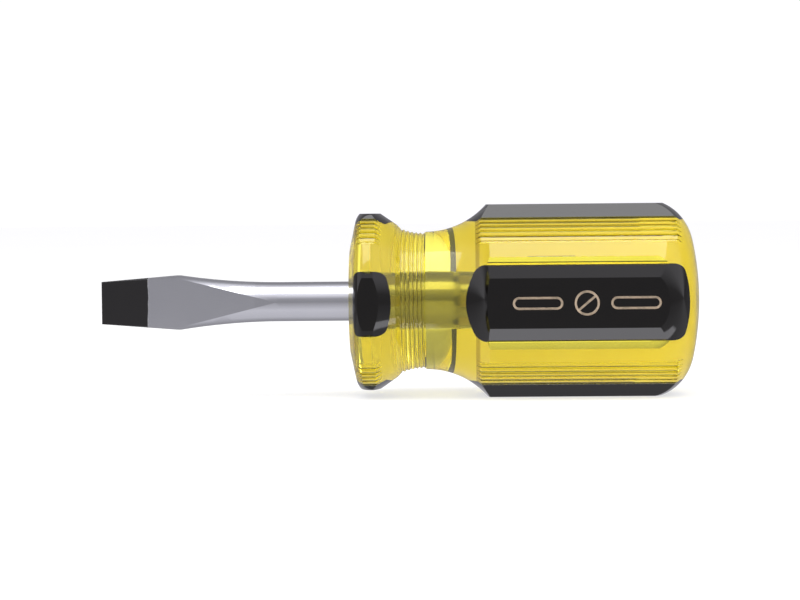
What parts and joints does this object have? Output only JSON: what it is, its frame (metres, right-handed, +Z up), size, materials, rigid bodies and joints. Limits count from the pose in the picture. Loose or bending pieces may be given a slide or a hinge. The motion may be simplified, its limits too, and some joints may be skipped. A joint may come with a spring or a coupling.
{
  "type": "slotted screwdriver",
  "caption": "Stubby slotted screwdriver with a flared steel blade pressed into a short clear amber handle, ringed neck and black raised grip lands.",
  "frame": {"origin": "under the middle of the tool's length, on the plane its bottom grip land rests on", "axes": "+X along the tool from the blade's tip towards the butt, +Z up, the blade's two ground faces towards -Y and +Y"},
  "size_m": [0.0908, 0.0292, 0.0291],
  "materials": {
    "plated_steel": "satin nickel plated bar, its tip blackened",
    "amber_acetate": "clear, polished",
    "black_plastic": "gloss"
  },
  "bodies": {
    "root": {"blade": "plated_steel", "handle_body": "amber_acetate", "collar_pad_front": "black_plastic", "collar_pad_back": "black_plastic", "collar_pad_top": "black_plastic", "collar_pad_bottom": "black_plastic", "grip_land_front": "black_plastic", "grip_land_back": "black_plastic", "grip_land_top": "black_plastic", "grip_land_bottom": "black_plastic"}
  },
  "joints": []
}
